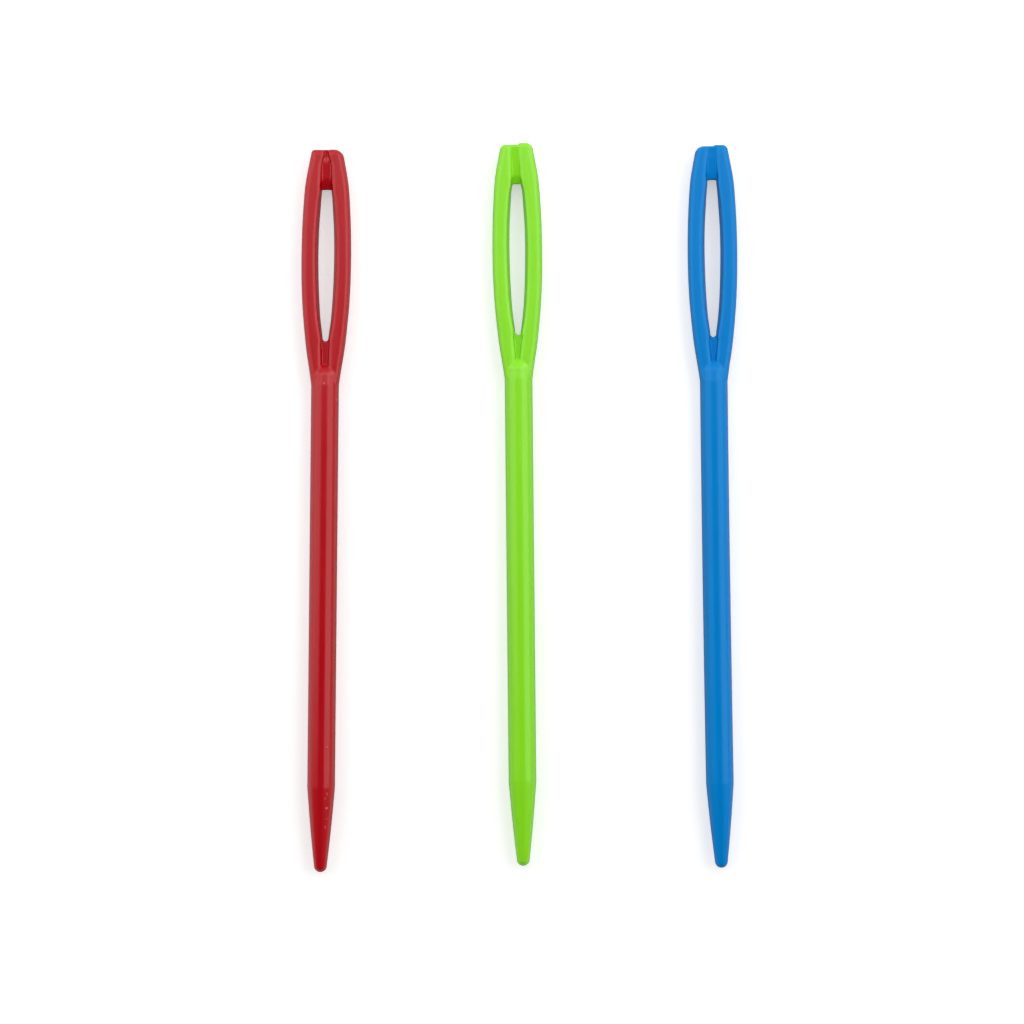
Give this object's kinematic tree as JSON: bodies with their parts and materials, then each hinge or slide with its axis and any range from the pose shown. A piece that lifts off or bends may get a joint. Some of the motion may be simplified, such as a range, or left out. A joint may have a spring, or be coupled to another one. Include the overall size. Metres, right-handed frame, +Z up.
{
  "type": "yarn needle",
  "caption": "Large-eye plastic yarn needles with flat grooved heads, round shafts and blunt tapered points, laid side by side.",
  "frame": {"origin": "centre of the set's outline, on the surface that the needles lie on", "axes": "+Y from the points to the heads, +X to the right from the red needle to the blue one, +Z up"},
  "size_m": [0.0544, 0.0908, 0.0034],
  "materials": {
    "red_plastic": "satin gloss moulded plastic, red",
    "green_plastic": "satin gloss moulded plastic, lime green",
    "blue_plastic": "satin gloss moulded plastic, blue"
  },
  "bodies": {
    "red_needle_body": {"red_needle": "red_plastic"},
    "green_needle_body": {"green_needle": "green_plastic"},
    "blue_needle_body": {"blue_needle": "blue_plastic"}
  },
  "joints": [
    {"name": "red_lift", "type": "slide", "parent": "green_needle_body", "child": "red_needle_body", "axis": [0, 0, 1], "range_m": [0, 0.03]},
    {"name": "blue_lift", "type": "slide", "parent": "green_needle_body", "child": "blue_needle_body", "axis": [0, 0, 1], "range_m": [0, 0.03]}
  ]
}
